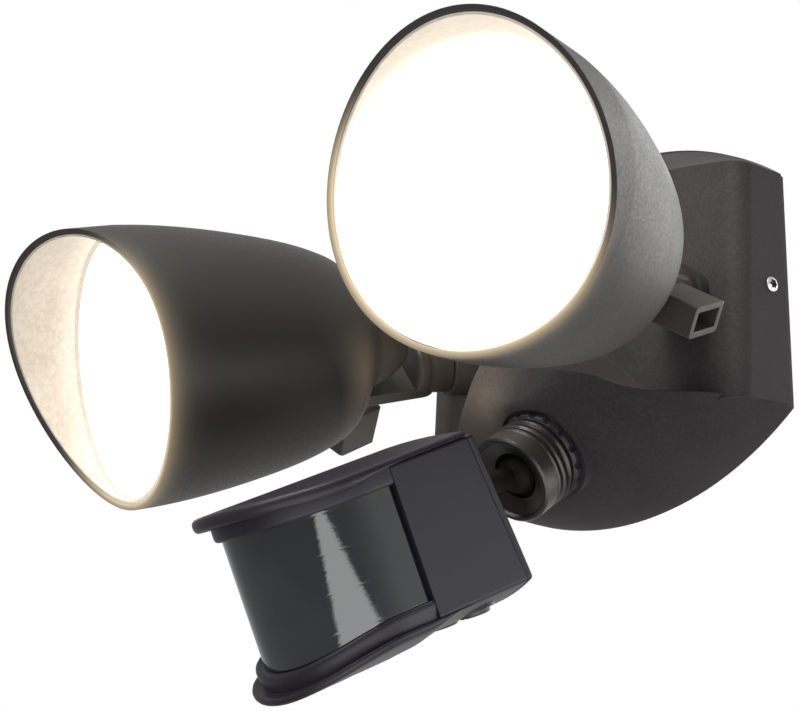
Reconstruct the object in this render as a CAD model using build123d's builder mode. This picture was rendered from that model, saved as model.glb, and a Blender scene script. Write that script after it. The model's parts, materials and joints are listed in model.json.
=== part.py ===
"""Twin-head motion sensor security light, modelled piece by piece.

Units are millimetres. The wall is the plane Y = 0, the light stands out along -Y, X points to
the right for a viewer who faces the wall and Z is up. The origin is the centre of the wall plate.
"""
from build123d import *
from math import atan2, cos, radians, sin, sqrt
import os

# ---------------------------------------------------------------- driving dimensions
# housing
HALF_WIDTH = 86.0
SIDE_HALF_HEIGHT = 46.0
ARCH_RISE = 29.0             # of the outline's bottom at the wall
ROOF_RISE = 30.6             # of its top
ROOF_FALL = 29.8             # that the top loses over the roof's depth
ROOF_DEPTH = 36.0
FACE_DEPTH = 28.2            # recessed front face, at mid height
FACE_LEAN = 3.5              # degrees, the face leans out towards the chin
CHIN_DEPTH = 61.0
WALL = 3.5
GASKET = 2.0
PLATE = 1.6
SCREW_DEPTH = 10.3           # side screws, from the wall

# arms and lamp heads
ARM_SPLAY = 19.8             # degrees, each side of straight out
ARM_DROOP = 8.0
ARM_PIVOT = (69.1, -56.3, -6.1)
ARM_RADIUS = 10.0
SPIGOT_RADIUS = 7.0
HINGE_AHEAD = 19.7           # tilt axis, measured along the arm from its pivot point
HINGE_BELOW = 2.8
LAMP_OFFSET = 12.0           # between the axes of arm and lamp
LENS_RADIUS = 52.2
LENS_DISTANCE = 123.3        # lamp's pivot point to the lens plane
HOOD_LENGTH = 29.3
SHELL = 2.2
BOLT_RADIUS = 3.0
LAMP_POSE = {1: (-31.3, 4.5), -1: (39.2, -5.5)}   # swivel and tilt of each head, degrees

# sensor head
SENSOR_ORIGIN = (0.0, -139.6, -107.6)
SENSOR_NOD = 25.2            # degrees, nose down
SENSOR_HALF_WIDTH = 33.8
SENSOR_HALF_HEIGHT = 27.75
SENSOR_TOP_DEPTH = 42.5
SENSOR_BOTTOM_DEPTH = 48.5
COVER_DEPTH = 3.2
TOP_CROWN = 2.2
BELLY_CROWN = 7.0
PIR_LENS_RADIUS = 33.0
PIR_LENS_CENTRE = -10.5
VISOR_RADIUS = 35.5
VISOR_CENTRE = -17.5
SOCKET_MOUTH = (0.0, -64.3, -67.5)
SOCKET_NOD = 36.6            # degrees, socket axis below level
SOCKET_LENGTH = 23.6
SOCKET_RADIUS = 17.5
BALL_RADIUS = 8.5
BALL_BACK = 7.7              # ball's centre behind the mouth of the socket
STEM_RISE = 5.8              # stem's axis above the middle of the sensor
STEM_RADIUS = 4.2

# fits
GAP = 0.3                    # between pieces that move past each other
RUN = 0.06                   # radial clearance of running shafts

pieces = {}


def keep(name, builder):
    """Files a finished piece under its name."""
    pieces[name] = builder.part


# ---------------------------------------------------------------- placing
def head_planes(side):
    """Planes of an arm and its lamp: local z runs outward, local x along the tilt axis."""
    swivel, tilt = LAMP_POSE[side]
    along = Vector(
        side * sin(radians(ARM_SPLAY)) * cos(radians(ARM_DROOP)),
        -cos(radians(ARM_SPLAY)) * cos(radians(ARM_DROOP)),
        -sin(radians(ARM_DROOP)),
    )
    level = along.cross(Vector(0, 0, 1)).normalized()
    upright = level.cross(along)
    up = upright * cos(radians(swivel)) + level * sin(radians(swivel))
    sideways = up.cross(along)
    pivot = Vector(side * ARM_PIVOT[0], ARM_PIVOT[1], ARM_PIVOT[2])
    arm = Plane(origin=pivot, x_dir=sideways, z_dir=along)
    ahead = along * cos(radians(tilt)) + up * sin(radians(tilt))
    lamp_up = up * cos(radians(tilt)) - along * sin(radians(tilt))
    hinge = pivot + along * HINGE_AHEAD - up * HINGE_BELOW
    centre = hinge - sideways * side * LAMP_OFFSET - ahead * HINGE_AHEAD + lamp_up * HINGE_BELOW
    lamp = Plane(origin=centre, x_dir=sideways, z_dir=ahead)
    return arm, lamp


def shifted(plane, x, y, z):
    """The same plane moved in its own directions."""
    return Plane(origin=plane.from_local_coords((x, y, z)), x_dir=plane.x_dir, z_dir=plane.z_dir)


def across(plane, x, y, z, side):
    """Plane across the tilt axis: its z points outboard and its x along the head."""
    outboard = plane.x_dir * side
    return Plane(origin=plane.from_local_coords((x, y, z)), x_dir=plane.z_dir, z_dir=outboard)


sensor = Plane(
    origin=SENSOR_ORIGIN,
    x_dir=(1, 0, 0),
    z_dir=(0, -sin(radians(SENSOR_NOD)), cos(radians(SENSOR_NOD))),
)
socket_axis = Vector(0, -cos(radians(SOCKET_NOD)), -sin(radians(SOCKET_NOD)))
socket = Plane(
    origin=Vector(*SOCKET_MOUTH) - socket_axis * SOCKET_LENGTH,
    x_dir=(1, 0, 0),
    z_dir=socket_axis,
)


# ---------------------------------------------------------------- housing
def roof_form(inset):
    """Upper block of the housing: the arch at the wall shrinks to a flatter one in front."""
    half = HALF_WIDTH - inset
    side_top = SIDE_HALF_HEIGHT - inset * 0.6
    with BuildPart() as block:
        for depth, rise in ((0, ROOF_RISE), (ROOF_DEPTH, ROOF_RISE - ROOF_FALL)):
            with BuildSketch(Plane.XZ.offset(depth)):
                with BuildLine():
                    Line((-half, -side_top), (half, -side_top))
                    Line((half, -side_top), (half, side_top))
                    ThreePointArc((half, side_top), (0, side_top + rise - inset * 0.4), (-half, side_top))
                    Line((-half, side_top), (-half, -side_top))
                make_face()
        loft()
        face = Plane(
            origin=(0, -FACE_DEPTH + inset, 0),
            x_dir=(1, 0, 0),
            z_dir=(0, -cos(radians(FACE_LEAN)), sin(radians(FACE_LEAN))),
        )
        split(bisect_by=face, keep=Keep.BOTTOM)
        upright = block.edges().filter_by(lambda edge: abs(edge.center().X) > half - 1)
        upright = upright.filter_by(lambda edge: abs(edge.center().Y) > 20 and edge.length > 60)
        fillet(upright, 7.0 - inset * 0.6)
    return block.part


def chin_form(inset):
    """Bowl under the face: sections narrow and rise as they stand further from the wall."""
    stations = (
        (0, HALF_WIDTH, SIDE_HALF_HEIGHT, SIDE_HALF_HEIGHT + ARCH_RISE),
        (20, HALF_WIDTH, 45.0, 70.5),
        (34, 77.0, 43.0, 62.5),
        (47, 55.0, 38.0, 51.5),
        (56, 35.0, 32.0, 43.5),
        (CHIN_DEPTH, 16.0, 27.0, 36.0),
    )
    with BuildPart() as bowl:
        for depth, half, corner, bottom in stations:
            half = half - inset
            corner = corner - inset * 0.5
            depth = depth if depth == 0 else depth - inset
            low = bottom - inset
            with BuildSketch(Plane.XZ.offset(depth)):
                with BuildLine():
                    Line((half, 8), (-half, 8))
                    Line((-half, 8), (-half, -corner))
                    ThreePointArc((-half, -corner), (0, -low), (half, -corner))
                    Line((half, -corner), (half, 8))
                make_face()
        loft()
    return bowl.part


def lip_region(drop):
    """Everything under the bell-shaped line where the bowl leaves the face."""
    half = HALF_WIDTH + 4
    with BuildPart() as region:
        with BuildSketch(Plane.XZ):
            with BuildLine():
                Spline(
                    (-half, -46.5 - drop),
                    (-67, -42.5 - drop),
                    (-42.8, -36.2 - drop),
                    (-22, -19 - drop),
                    (0, -9 - drop),
                    (22, -19 - drop),
                    (42.8, -36.2 - drop),
                    (67, -42.5 - drop),
                    (half, -46.5 - drop),
                )
                Polyline((half, -46.5 - drop), (half, -90), (-half, -90), (-half, -46.5 - drop))
            make_face()
        extrude(amount=CHIN_DEPTH + 10)
    return region.part


def housing_form(inset):
    """Whole outer form of the housing, or the same form pulled in by a wall thickness."""
    with BuildPart() as form:
        add(chin_form(inset))
        add(lip_region(inset), mode=Mode.INTERSECT)
        add(roof_form(inset))
    return form.part


arms = {side: head_planes(side) for side in (1, -1)}
BOSS_RADIUS = 11.5
BOSS_END = -18.0             # along the arm, where the arm starts
BOSS_INNER = -38.5
THREAD_RADIUS = 6.0
SOCKET_SEAT = 1.0            # along the socket's axis, the flat that the socket ring sits on
SOCKET_BORE = 13.0
LUG_X = HALF_WIDTH - WALL - 0.6

with BuildPart() as housing:
    add(housing_form(0.0))
    with BuildPart(mode=Mode.PRIVATE) as hollow:
        add(housing_form(WALL))
    add(hollow.part, mode=Mode.SUBTRACT)
    for side in (1, -1):
        arm = arms[side][0]
        with BuildSketch(shifted(arm, 0, 0, BOSS_INNER)):
            Circle(BOSS_RADIUS)
        extrude(amount=BOSS_END - BOSS_INNER)
        with BuildSketch(shifted(arm, 0, 0, BOSS_INNER - 20)):
            Circle(SPIGOT_RADIUS + RUN)
        extrude(amount=60, mode=Mode.SUBTRACT)
        with BuildSketch(Plane.YZ.offset(side * (HALF_WIDTH - 12))):
            with Locations((-SCREW_DEPTH, 0)):
                Circle(2.3)
        extrude(amount=side * 30, mode=Mode.SUBTRACT)
    with BuildSketch(shifted(socket, 0, 0, -7)):
        Circle(SOCKET_RADIUS + 2)
    extrude(amount=7 + SOCKET_SEAT)
    with BuildSketch(shifted(socket, 0, 0, SOCKET_SEAT)):
        Circle(SOCKET_RADIUS + 2)
    extrude(amount=30, mode=Mode.SUBTRACT)
    with BuildSketch(shifted(socket, 0, 0, -7)):
        Circle(SOCKET_RADIUS + 1)
    extrude(amount=-6, mode=Mode.SUBTRACT)
    with BuildSketch(shifted(socket, 0, 0, -16)):
        Circle(SOCKET_BORE)
    extrude(amount=40, mode=Mode.SUBTRACT)
    with BuildSketch(Plane.XZ.offset(-1)):
        Rectangle(2 * HALF_WIDTH + 20, 200)
    extrude(amount=1 + GASKET, mode=Mode.SUBTRACT)
keep("housing_shell", housing)


def wall_outline(inset):
    """Closed line of the housing's footprint, pulled in by inset."""
    half = HALF_WIDTH - inset
    side_top = SIDE_HALF_HEIGHT - inset * 0.6
    top = SIDE_HALF_HEIGHT + ROOF_RISE - inset
    bottom = SIDE_HALF_HEIGHT + ARCH_RISE - inset
    with BuildLine() as line:
        Line((half, -side_top), (half, side_top))
        ThreePointArc((half, side_top), (0, top), (-half, side_top))
        Line((-half, side_top), (-half, -side_top))
        ThreePointArc((-half, -side_top), (0, -bottom), (half, -side_top))
    return line.line


with BuildPart() as gasket:
    with BuildSketch(Plane.XZ):
        with BuildLine():
            add(wall_outline(0.8))
        make_face()
        with BuildLine():
            add(wall_outline(WALL + 0.3))
        make_face(mode=Mode.SUBTRACT)
    extrude(amount=GASKET)
keep("wall_gasket", gasket)

# ---------------------------------------------------------------- wall bracket and its load
SLOT_SPACING = 89.0
SLOT_WIDTH = 5.2
SLOT_LENGTH = 14.0
CABLE_HOLE = 11.0
CABLE_Z = -30.0
LUG_FRONT = SCREW_DEPTH + 8.0

with BuildPart() as bracket:
    with BuildSketch(Plane.XZ):
        Rectangle(2 * LUG_X, 26)
        Rectangle(96, 108)
    extrude(amount=PLATE)
    corners = bracket.edges().filter_by(Axis.Y)
    fillet(corners.filter_by(lambda edge: abs(edge.center().Z) > 50), 6)
    for side in (1, -1):
        with BuildSketch(Plane.YZ.offset(side * LUG_X)):
            with Locations((-LUG_FRONT / 2, 0)):
                Rectangle(LUG_FRONT, 26)
        extrude(amount=-side * PLATE)
        with BuildSketch(Plane.YZ.offset(side * (LUG_X - 6))):
            with Locations((-SCREW_DEPTH, 0)):
                Circle(2.1)
        extrude(amount=side * 12, mode=Mode.SUBTRACT)
    with BuildSketch(Plane.XZ):
        with Locations((SLOT_SPACING / 2, 0), (-SLOT_SPACING / 2, 0)):
            SlotOverall(SLOT_LENGTH, SLOT_WIDTH)
        with Locations((0, CABLE_Z)):
            Circle(CABLE_HOLE)
        with Locations((0, 44), (0, 24)):
            SlotOverall(20, 5)
    extrude(amount=PLATE, mode=Mode.SUBTRACT)
keep("wall_bracket", bracket)

with BuildPart() as side_screws:
    for side in (1, -1):
        spin = Plane(origin=(side * HALF_WIDTH, -SCREW_DEPTH, 0), x_dir=(0, 0, 1), z_dir=(0, -1, 0))
        axis = Axis((side * HALF_WIDTH, -SCREW_DEPTH, 0), (side, 0, 0))
        with BuildSketch(Plane(origin=spin.origin, x_dir=(side, 0, 0), z_dir=(0, 1, 0))):
            with BuildLine():
                Polyline((0.1, 0), (0.1, 4.0), (0.9, 4.0))
                ThreePointArc((0.9, 4.0), (2.6, 2.4), (3.1, 0))
                Line((3.1, 0), (0.1, 0))
            make_face()
            with BuildLine():
                Polyline((0.1, 0), (-15, 0), (-15, 1.4), (-14, 2.0), (0.1, 2.0), (0.1, 0))
            make_face()
        revolve(axis=axis)
        with BuildSketch(Plane.YZ.offset(side * (HALF_WIDTH + 1.5))):
            with Locations((-SCREW_DEPTH, 0)):
                RegularPolygon(1.4, 6)
        extrude(amount=side * 3, mode=Mode.SUBTRACT)
keep("side_screws", side_screws)

with BuildPart() as lug_nuts:
    for side in (1, -1):
        with BuildSketch(Plane.YZ.offset(side * (LUG_X - PLATE))):
            with Locations((-SCREW_DEPTH, 0)):
                RegularPolygon(4.0, 6)
                Circle(2.05, mode=Mode.SUBTRACT)
        extrude(amount=-side * 3.2)
keep("lug_nuts", lug_nuts)

with BuildPart() as driver:
    with BuildSketch(Plane.XZ.offset(PLATE)):
        with Locations((0, 33)):
            Rectangle(76, 30)
    extrude(amount=16)
    fillet(driver.edges().filter_by(Axis.Y), 3)
    with BuildSketch(Plane.XZ.offset(PLATE)):
        with Locations((43, 33), (-43, 33)):
            Rectangle(10, 14)
    extrude(amount=2.5)
keep("led_driver", driver)

with BuildPart() as terminals:
    with BuildSketch(Plane.XZ.offset(PLATE)):
        with Locations((28, -34)):
            Rectangle(30, 16)
    extrude(amount=12)
    with BuildSketch(Plane.XZ.offset(PLATE + 12)):
        with Locations((28, -34)):
            with GridLocations(9, 0, 3, 1):
                Circle(2.4)
    extrude(amount=-7, mode=Mode.SUBTRACT)
keep("terminal_block", terminals)

with BuildPart() as terminal_screws:
    with BuildSketch(Plane.XZ.offset(PLATE + 5.2)):
        with Locations((28, -34)):
            with GridLocations(9, 0, 3, 1):
                Circle(2.1)
    extrude(amount=3.5)
    with BuildSketch(Plane.XZ.offset(PLATE + 8.7)):
        with Locations((28, -34)):
            with GridLocations(9, 0, 3, 1):
                Rectangle(3.2, 0.7)
    extrude(amount=-1, mode=Mode.SUBTRACT)
keep("terminal_screws", terminal_screws)

with BuildPart() as earth_screw:
    with BuildSketch(Plane.XZ.offset(PLATE)):
        with Locations((-30, -34)):
            Circle(4.0)
    extrude(amount=2.6)
    with BuildSketch(Plane.XZ.offset(PLATE + 2.6)):
        with Locations((-30, -34)):
            Rectangle(5.5, 1.0)
            Rectangle(1.0, 5.5)
    extrude(amount=-1.3, mode=Mode.SUBTRACT)
keep("earth_screw", earth_screw)


# ---------------------------------------------------------------- heads
def spin_plane(plane):
    """Plane through the local z axis: sketch x is the radius and sketch y runs along the axis."""
    return Plane(origin=plane.origin, x_dir=plane.x_dir, z_dir=-plane.y_dir)


def axis_of(plane):
    """The local z axis of a plane."""
    return Axis(plane.origin, plane.z_dir)


def hood_cut(lamp, back):
    """Room in front of the slanted hood edge, which falls back as a parabola."""
    reach = LENS_RADIUS + 8
    tip = LENS_DISTANCE + HOOD_LENGTH - back
    foot = LENS_DISTANCE - back
    middle = LENS_DISTANCE + HOOD_LENGTH / 4 - back
    radius = LENS_RADIUS + SHELL
    with BuildPart() as room:
        with BuildSketch(Plane(origin=lamp.from_local_coords((-90, 0, 0)), x_dir=lamp.y_dir, z_dir=lamp.x_dir)):
            with BuildLine():
                Spline(
                    (-radius, foot),
                    (0, middle),
                    (radius, tip),
                    tangents=((1, 0), (radius, HOOD_LENGTH)),
                )
                Polyline((radius, tip), (reach, tip + 5), (reach, tip + 30), (-reach, tip + 30), (-reach, foot), (-radius, foot))
            make_face()
        extrude(amount=180)
    return room.part


HINGE_REACH = 15.7           # flat on the lamp's tail, measured from its axis
CHEEK_INNER = 16.0
CHEEK_OUTER = 22.0
KNOB_START = 28.4
KNOB_END = 45.7
KNOB_WIDTH = 19.6
KNOB_HEIGHT = 12.0
KNOB_WALL = 2.3
LENS_SEAT = LENS_DISTANCE - 5.3
BOARD_Z = 60.0

def cheek_plate(arm, side):
    """Flat ear of an arm, with rounded outer edges, that carries the tilt hinge."""
    inner = CHEEK_INNER - LAMP_OFFSET
    with BuildPart() as plate:
        with BuildSketch(across(arm, side * inner, 0, 0, side)):
            with Locations((-5.5, 0)):
                Circle(8.2)
            with Locations((HINGE_AHEAD, side * HINGE_BELOW)):
                Circle(10)
            make_hull()
        extrude(amount=CHEEK_OUTER - CHEEK_INNER - 0.2)
        rims = plate.edges().group_by(Axis(arm.origin, arm.x_dir * side))[-1]
        fillet(rims, 1.8)
    return plate.part


for side, word in ((1, "right"), (-1, "left")):
    arm, lamp = arms[side]

    with BuildPart() as arm_body:
        with BuildSketch(spin_plane(arm)):
            with BuildLine():
                Polyline(
                    (0, -46),
                    (THREAD_RADIUS, -46),
                    (THREAD_RADIUS, BOSS_INNER),
                    (SPIGOT_RADIUS, BOSS_INNER),
                    (SPIGOT_RADIUS, BOSS_END + GAP),
                    (ARM_RADIUS - 0.6, BOSS_END + GAP),
                    (ARM_RADIUS, BOSS_END + GAP + 0.6),
                    (ARM_RADIUS, -9.9),
                    (ARM_RADIUS - 1, -9.3),
                    (ARM_RADIUS - 1, -7.4),
                    (ARM_RADIUS, -6.8),
                    (ARM_RADIUS, -4.0),
                )
                ThreePointArc((ARM_RADIUS, -4.0), (ARM_RADIUS - 0.7, -2.5), (ARM_RADIUS - 2.4, -1.6))
                Polyline((ARM_RADIUS - 2.4, -1.6), (0, -1.6), (0, -46))
            make_face()
        revolve(axis=axis_of(arm))
        add(cheek_plate(arm, side))
        with BuildSketch(across(arm, 0, -HINGE_BELOW, HINGE_AHEAD, side)):
            Circle(BOLT_RADIUS + RUN)
        extrude(amount=30, mode=Mode.SUBTRACT)
    keep(word + "_arm", arm_body)

    with BuildPart() as arm_nut:
        with BuildSketch(shifted(arm, 0, 0, BOSS_INNER - GAP - 6)):
            RegularPolygon(10, 6)
            Circle(THREAD_RADIUS + 0.05, mode=Mode.SUBTRACT)
        extrude(amount=6)
    keep(word + "_arm_nut", arm_nut)

    with BuildPart() as shell:
        with BuildSketch(spin_plane(lamp)):
            with BuildLine():
                Line((0, 5.3), (9.8, 5.3))
                Spline((9.8, 5.3), (15.1, 14.3), (17.6, 21.0), tangents=((0.6, 1), (0.55, 1)))
                Spline((17.6, 21.0), (28.5, 29.2), (37.2, 37.6), tangents=((0.9, 1), (0.5, 1)))
                Spline(
                    (37.2, 37.6),
                    (47.6, 71.1),
                    (LENS_RADIUS + SHELL, LENS_DISTANCE),
                    tangents=((0.5, 1), (0.03, 1)),
                )
                Line(
                    (LENS_RADIUS + SHELL, LENS_DISTANCE),
                    (LENS_RADIUS + SHELL - 0.6, LENS_DISTANCE + HOOD_LENGTH),
                )
                Polyline(
                    (LENS_RADIUS + SHELL - 0.6, LENS_DISTANCE + HOOD_LENGTH),
                    (LENS_RADIUS, LENS_DISTANCE + HOOD_LENGTH),
                    (LENS_RADIUS, LENS_SEAT),
                    (LENS_RADIUS - 4, LENS_SEAT),
                )
                Spline(
                    (LENS_RADIUS - 4, LENS_SEAT),
                    (49.0, 96),
                    (45.0, 71.1),
                    (33.0, 42),
                )
                Polyline((33.0, 42), (0, 42), (0, 5.3))
            make_face()
        revolve(axis=axis_of(lamp))
        add(hood_cut(lamp, 0), mode=Mode.SUBTRACT)
        hinge_plane = across(lamp, side * HINGE_REACH, -HINGE_BELOW, HINGE_AHEAD, side)
        with BuildSketch(hinge_plane):
            Circle(13.5)
        extrude(amount=34, mode=Mode.SUBTRACT)
        with BuildSketch(hinge_plane):
            Circle(BOLT_RADIUS + RUN)
        extrude(amount=-24, mode=Mode.SUBTRACT)
    keep(word + "_lamp_shell", shell)

    with BuildPart() as liner:
        with BuildSketch(spin_plane(lamp)):
            with BuildLine():
                Polyline(
                    (LENS_RADIUS - 0.3, LENS_DISTANCE - 0.9),
                    (LENS_RADIUS - 0.3, LENS_DISTANCE + HOOD_LENGTH),
                    (LENS_RADIUS - 1.2, LENS_DISTANCE + HOOD_LENGTH),
                    (LENS_RADIUS - 1.2, LENS_DISTANCE + 0.4),
                    (LENS_RADIUS - 2.6, LENS_DISTANCE - 0.9),
                    close=True,
                )
            make_face()
        revolve(axis=axis_of(lamp))
        add(hood_cut(lamp, 0.7), mode=Mode.SUBTRACT)
    keep(word + "_hood_liner", liner)

    with BuildPart() as gasket_ring:
        with BuildSketch(shifted(lamp, 0, 0, LENS_SEAT)):
            Circle(LENS_RADIUS - 0.4)
            Circle(LENS_RADIUS - 3.6, mode=Mode.SUBTRACT)
        extrude(amount=1.4)
    keep(word + "_lens_gasket", gasket_ring)

    with BuildPart() as lens:
        with BuildSketch(shifted(lamp, 0, 0, LENS_SEAT + 1.4)):
            Circle(LENS_RADIUS - 0.5)
        extrude(amount=2.8)
        fillet(lens.edges().sort_by(axis_of(lamp))[-1], 1.0)
    keep(word + "_lens", lens)

    with BuildPart() as reflector:
        with BuildSketch(spin_plane(lamp)):
            with BuildLine():
                Spline((16, BOARD_Z + 2.3), (34, 80), (45.6, LENS_SEAT - 0.6))
                Line((45.6, LENS_SEAT - 0.6), (44.6, LENS_SEAT - 0.6))
                Spline((44.6, LENS_SEAT - 0.6), (33, 80.6), (15, BOARD_Z + 2.3))
                Line((15, BOARD_Z + 2.3), (16, BOARD_Z + 2.3))
            make_face()
        revolve(axis=axis_of(lamp))
    keep(word + "_reflector", reflector)

    with BuildPart() as board:
        with BuildSketch(shifted(lamp, 0, 0, BOARD_Z)):
            Circle(30)
            with PolarLocations(24, 3):
                Circle(1.7, mode=Mode.SUBTRACT)
        extrude(amount=1.6)
        with BuildSketch(shifted(lamp, 0, 0, BOARD_Z + 1.6)):
            Circle(10)
        extrude(amount=1.2)
    keep(word + "_led_board", board)

    with BuildPart() as sink:
        with BuildSketch(shifted(lamp, 0, 0, BOARD_Z - 4)):
            Circle(31)
        extrude(amount=4)
        with BuildSketch(shifted(lamp, 0, 0, 42)):
            with GridLocations(6, 0, 9, 1):
                Rectangle(2, 36)
        extrude(amount=14)
        with BuildSketch(shifted(lamp, 0, 0, BOARD_Z - 7)):
            with PolarLocations(24, 3):
                Circle(1.55)
        extrude(amount=8, mode=Mode.SUBTRACT)
    keep(word + "_heat_sink", sink)

    with BuildPart() as board_screws:
        with BuildSketch(shifted(lamp, 0, 0, BOARD_Z + 1.6)):
            with PolarLocations(24, 3):
                Circle(2.8)
        extrude(amount=1.8)
        with BuildSketch(shifted(lamp, 0, 0, BOARD_Z + 1.6)):
            with PolarLocations(24, 3):
                Circle(1.5)
        extrude(amount=-7)
    keep(word + "_board_screws", board_screws)

    knob_plane = across(lamp, 0, -HINGE_BELOW, HINGE_AHEAD, side)
    with BuildPart() as bolt:
        with BuildSketch(shifted(knob_plane, 0, 0, -6)):
            Circle(BOLT_RADIUS)
        extrude(amount=KNOB_START + 10)
    keep(word + "_tilt_bolt", bolt)

    with BuildPart() as knob:
        with BuildSketch(shifted(knob_plane, 0, 0, KNOB_START)):
            Rectangle(KNOB_WIDTH, KNOB_HEIGHT, rotation=side * 22)
        extrude(amount=KNOB_END - KNOB_START)
        fillet(knob.edges().filter_by(axis_of(knob_plane)), 1.6)
        with BuildSketch(shifted(knob_plane, 0, 0, KNOB_END)):
            Rectangle(KNOB_WIDTH - 2 * KNOB_WALL, KNOB_HEIGHT - 2 * KNOB_WALL, rotation=side * 22)
        extrude(amount=-12.5, mode=Mode.SUBTRACT)
        with BuildSketch(spin_plane(knob_plane)):
            with BuildLine():
                Polyline((0, CHEEK_OUTER + GAP), (5.2, CHEEK_OUTER + GAP), (4.5, CHEEK_OUTER + 1.2))
                Line((4.5, CHEEK_OUTER + 1.2), (4.5, KNOB_START - 1.5))
                Polyline((4.5, KNOB_START - 1.5), (5.8, KNOB_START), (0, KNOB_START), (0, CHEEK_OUTER + GAP))
            make_face()
        revolve(axis=axis_of(knob_plane))
        with BuildSketch(knob_plane):
            Circle(BOLT_RADIUS + 0.02)
        extrude(amount=KNOB_START + 4, mode=Mode.SUBTRACT)
    keep(word + "_tilt_knob", knob)

# ---------------------------------------------------------------- sensor socket
SEAT_RADIUS = 12.6
SEAT_START = 6.0             # along the socket's axis
TUBE_RADIUS = 14.6
BALL_ALONG = SOCKET_LENGTH - BALL_BACK
SEAT_END = BALL_ALONG + 2.4
THROAT_RADIUS = 9.4          # of the collar's inner lip, which clamps the seat

with BuildPart() as socket_ring:
    with BuildSketch(spin_plane(socket)):
        with BuildLine():
            Polyline(
                (SOCKET_BORE - 2.5, -8),
                (SOCKET_BORE - 0.2, -8),
                (SOCKET_BORE - 0.2, SOCKET_SEAT + 0.3),
                (SOCKET_RADIUS - 0.2, SOCKET_SEAT + 0.3),
                (SOCKET_RADIUS + 0.6, SOCKET_SEAT + 1.1),
                (SOCKET_RADIUS + 0.6, 4.4),
                (SOCKET_RADIUS - 0.6, 5.4),
                (TUBE_RADIUS - 0.9, 5.4),
                (TUBE_RADIUS - 0.9, SEAT_END - 2),
                (SEAT_RADIUS + 0.3, SEAT_END - 2),
                (SEAT_RADIUS + 0.3, 3.2),
                (SOCKET_BORE - 2.5, 3.2),
                close=True,
            )
        make_face()
    revolve(axis=axis_of(socket))
    with BuildSketch(shifted(socket, 0, 0, SOCKET_SEAT)):
        with PolarLocations(SOCKET_RADIUS + 1.6, 16):
            Circle(1.9)
    extrude(amount=12, mode=Mode.SUBTRACT)
keep("sensor_socket", socket_ring)

with BuildPart() as socket_nut:
    with BuildSketch(shifted(socket, 0, 0, -7.3 - 4)):
        RegularPolygon(SOCKET_RADIUS, 6)
        Circle(SOCKET_BORE - 0.1, mode=Mode.SUBTRACT)
    extrude(amount=4)
keep("socket_nut", socket_nut)

with BuildPart() as collar:
    with BuildSketch(spin_plane(socket)):
        with BuildLine():
            Polyline(
                (TUBE_RADIUS - 0.6, 6.0),
                (SOCKET_RADIUS - 0.9, 6.0),
                (SOCKET_RADIUS - 0.2, 6.7),
                (SOCKET_RADIUS - 0.2, 7.6),
                (SOCKET_RADIUS - 1.2, 8.2),
                (SOCKET_RADIUS - 1.2, 8.9),
                (SOCKET_RADIUS, 9.8),
                (SOCKET_RADIUS, SOCKET_LENGTH - 0.8),
                (SOCKET_RADIUS - 0.8, SOCKET_LENGTH),
                (SOCKET_RADIUS - 1.9, SOCKET_LENGTH),
                (SOCKET_RADIUS - 2.6, SOCKET_LENGTH - 1.2),
                (THROAT_RADIUS + 0.8, SEAT_END + 1.5),
                (THROAT_RADIUS, SEAT_END + 1.2),
                (THROAT_RADIUS, SEAT_END + GAP),
                (TUBE_RADIUS - 0.6, SEAT_END + GAP),
                close=True,
            )
        make_face()
    revolve(axis=axis_of(socket))
keep("lock_collar", collar)

with BuildPart() as seat:
    with BuildSketch(spin_plane(socket)):
        with BuildLine():
            Polyline(
                (0, SEAT_START),
                (SEAT_RADIUS, SEAT_START),
                (SEAT_RADIUS, SEAT_END),
                (0, SEAT_END),
                close=True,
            )
        make_face()
    revolve(axis=axis_of(socket))
    with BuildSketch(spin_plane(shifted(socket, 0, 0, BALL_ALONG))):
        with BuildLine():
            ThreePointArc((0, -BALL_RADIUS - RUN), (BALL_RADIUS + RUN, 0), (0, BALL_RADIUS + RUN))
            Line((0, BALL_RADIUS + RUN), (0, -BALL_RADIUS - RUN))
        make_face()
    revolve(axis=axis_of(socket), mode=Mode.SUBTRACT)
    with BuildSketch(socket):
        Circle(5)
    extrude(amount=12, mode=Mode.SUBTRACT)
keep("ball_seat", seat)

ball_centre = socket.from_local_coords((0, 0, BALL_ALONG))
stem_foot = sensor.to_local_coords(ball_centre)
stem_plane = Plane(origin=ball_centre, x_dir=sensor.x_dir, z_dir=-sensor.y_dir)
STEM_LENGTH = stem_foot.Y - SENSOR_TOP_DEPTH - 3.6
STEM_BORE = 2.2              # for the sensor's leads

with BuildPart() as stem:
    with BuildSketch(spin_plane(stem_plane)):
        with BuildLine():
            ThreePointArc(
                (STEM_BORE, -sqrt(BALL_RADIUS**2 - STEM_BORE**2)),
                (BALL_RADIUS, 0),
                (STEM_RADIUS, sqrt(BALL_RADIUS**2 - STEM_RADIUS**2)),
            )
            Polyline(
                (STEM_RADIUS, sqrt(BALL_RADIUS**2 - STEM_RADIUS**2)),
                (STEM_RADIUS, STEM_LENGTH - 3.2),
                (STEM_RADIUS + 2.5, STEM_LENGTH - 2.4),
                (STEM_RADIUS + 2.5, STEM_LENGTH),
                (STEM_RADIUS, STEM_LENGTH),
                (STEM_RADIUS, STEM_LENGTH + 12),
                (STEM_BORE, STEM_LENGTH + 12),
                (STEM_BORE, -sqrt(BALL_RADIUS**2 - STEM_BORE**2)),
            )
        make_face()
    revolve(axis=axis_of(stem_plane))
keep("ball_stem", stem)

# ---------------------------------------------------------------- sensor head
FRAME_INSET = 2.4
KNOB_SPACING = 18.0
KNOB_Y = 30.0
KNOB_RADIUS = 6.0
BACK_LEAN = atan2(SENSOR_BOTTOM_DEPTH - SENSOR_TOP_DEPTH, 2 * SENSOR_HALF_HEIGHT)


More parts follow.
